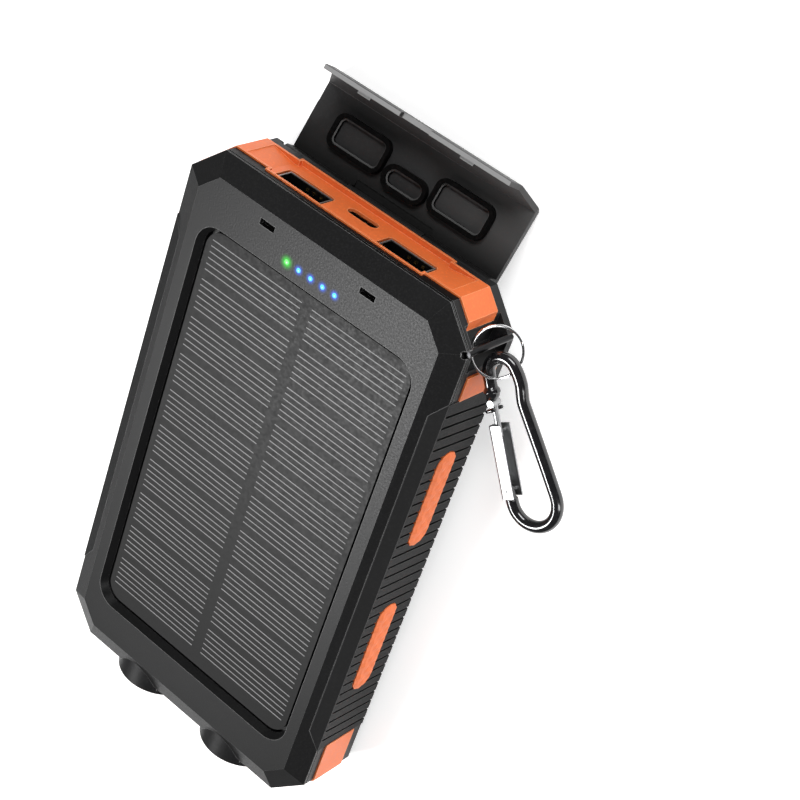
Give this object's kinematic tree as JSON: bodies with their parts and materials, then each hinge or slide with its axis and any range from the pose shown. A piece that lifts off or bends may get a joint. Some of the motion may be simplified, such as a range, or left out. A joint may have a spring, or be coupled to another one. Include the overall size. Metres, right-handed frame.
{
  "type": "solar power bank",
  "caption": "Pocket battery charger with a solar panel, sealed USB ports under a swinging cover, end lamps, rubber side grips and a hanging clip.",
  "frame": {"origin": "middle of the flat back face, on which the charger lies", "axes": "+Z is the way the solar panel faces, +Y is the port end, +X is the side with the split ring and clip"},
  "size_m": [0.1157, 0.1708, 0.0314],
  "materials": {
    "front_plastic": "fine-grained matte dark grey",
    "rear_plastic": "fine-grained matte black",
    "orange_plastic": "satin orange",
    "grip_rubber": "ribbed black",
    "orange_insert": "faceted orange",
    "solar_glass": "dark laminated film over solar cells",
    "backing_film": "black film",
    "light_pipe": "clear light pipes",
    "circuit_board": "green solder mask",
    "battery_pouch": "satin foil",
    "socket_steel": "nickel-plated",
    "socket_plastic": "black",
    "led_chip": "yellow phosphor",
    "reflector": "mirror bright",
    "lamp_lens": "frosted clear",
    "button_plastic": "soft black",
    "switch_metal": "stamped",
    "screw_steel": "dark zinc",
    "pin_steel": "bright",
    "cover_rubber": "matte dark grey",
    "seal_rubber": "matte black",
    "ring_steel": "bright",
    "clip_paint": "gloss black",
    "gate_steel": "bright folded sheet"
  },
  "bodies": {
    "case": {"front_shell": "front_plastic", "rear_shell": "rear_plastic", "mid_frame": "orange_plastic", "side_grip_left": "grip_rubber", "side_grip_right": "grip_rubber", "grip_inserts": "orange_insert", "panel_backing": "backing_film", "solar_panel": "solar_glass", "status_lights": "light_pipe", "main_board": "circuit_board", "battery_upper": "battery_pouch", "battery_lower": "battery_pouch", "usb_a_left": "socket_steel", "usb_a_right": "socket_steel", "usb_c": "socket_steel", "usb_a_tongues": "socket_plastic", "usb_c_tongue": "socket_plastic", "lamp_board": "circuit_board", "lamp_emitters": "led_chip", "lamp_reflector_left": "reflector", "lamp_reflector_right": "reflector", "lamp_lens_left": "lamp_lens", "lamp_lens_right": "lamp_lens", "button_switch": "switch_metal", "case_screws": "screw_steel", "hinge_pin": "pin_steel", "lanyard_pin": "pin_steel"},
    "cover": {"port_cover": "cover_rubber", "seal_usb_a_left": "seal_rubber", "seal_usb_a_right": "seal_rubber", "seal_usb_c": "seal_rubber"},
    "button": {"power_button": "button_plastic"},
    "ring": {"split_ring": "ring_steel"},
    "clip": {"clip_body": "clip_paint"},
    "gate": {"clip_gate": "gate_steel", "gate_wire": "gate_steel", "gate_rivets": "gate_steel"}
  },
  "joints": [
    {"name": "cover_hinge", "type": "hinge", "parent": "case", "child": "cover", "pos_m": [0, 0.0716, 0.0017], "axis": [1, 0, 0], "range_deg": [0, 111.5]},
    {"name": "button_press", "type": "slide", "parent": "case", "child": "button", "axis": [1, 0, 0], "range_m": [0, 0.0008], "stiffness_N_per_m": 400},
    {"name": "ring_swing", "type": "hinge", "parent": "case", "child": "ring", "pos_m": [0.04136, 0.06445, 0.0116], "axis": [0, 0, 1], "range_deg": [-2, 25]},
    {"name": "clip_swing", "type": "hinge", "parent": "ring", "child": "clip", "pos_m": [0.04399, 0.0645, 0.0116], "axis": [0.5126, 0.4301, 0.7431], "range_deg": [-2, 16]},
    {"name": "gate_hinge", "type": "hinge", "parent": "clip", "child": "gate", "pos_m": [0.05918, 0.03728, 0.0116], "axis": [0, 0, -1], "range_deg": [0, 14], "stiffness_Nm_per_rad": 0.02, "springref_deg": -8.59}
  ]
}
